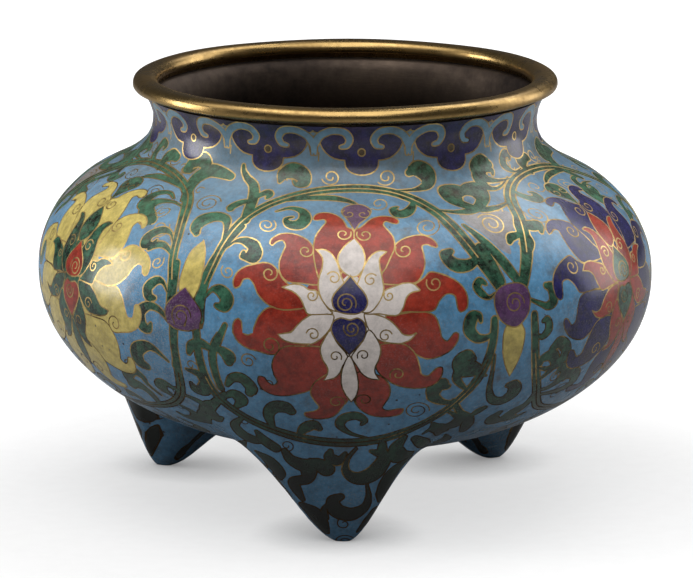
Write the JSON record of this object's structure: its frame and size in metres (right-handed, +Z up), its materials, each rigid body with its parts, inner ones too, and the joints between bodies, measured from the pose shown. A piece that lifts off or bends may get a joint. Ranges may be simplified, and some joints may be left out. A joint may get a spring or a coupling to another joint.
{
  "type": "cloisonne tripod censer",
  "caption": "Low round-bellied incense vessel with a waisted neck, a gilt bead ring on its mouth and pouched feet, enamelled outside with lotus scrolls in wire cells.",
  "frame": {"origin": "on the ground, under the middle of the belly", "axes": "+Z up along the vessel's axis, -Y towards the front foot"},
  "size_m": [0.154, 0.154, 0.1071],
  "materials": {
    "cloisonne_enamel": "polished glass enamel in wire cells, turquoise-blue ground with pits",
    "gilt_bronze": "worn gilding, satin"
  },
  "bodies": {
    "root": {"vessel": "cloisonne_enamel", "mouth_ring": "gilt_bronze"}
  },
  "joints": []
}
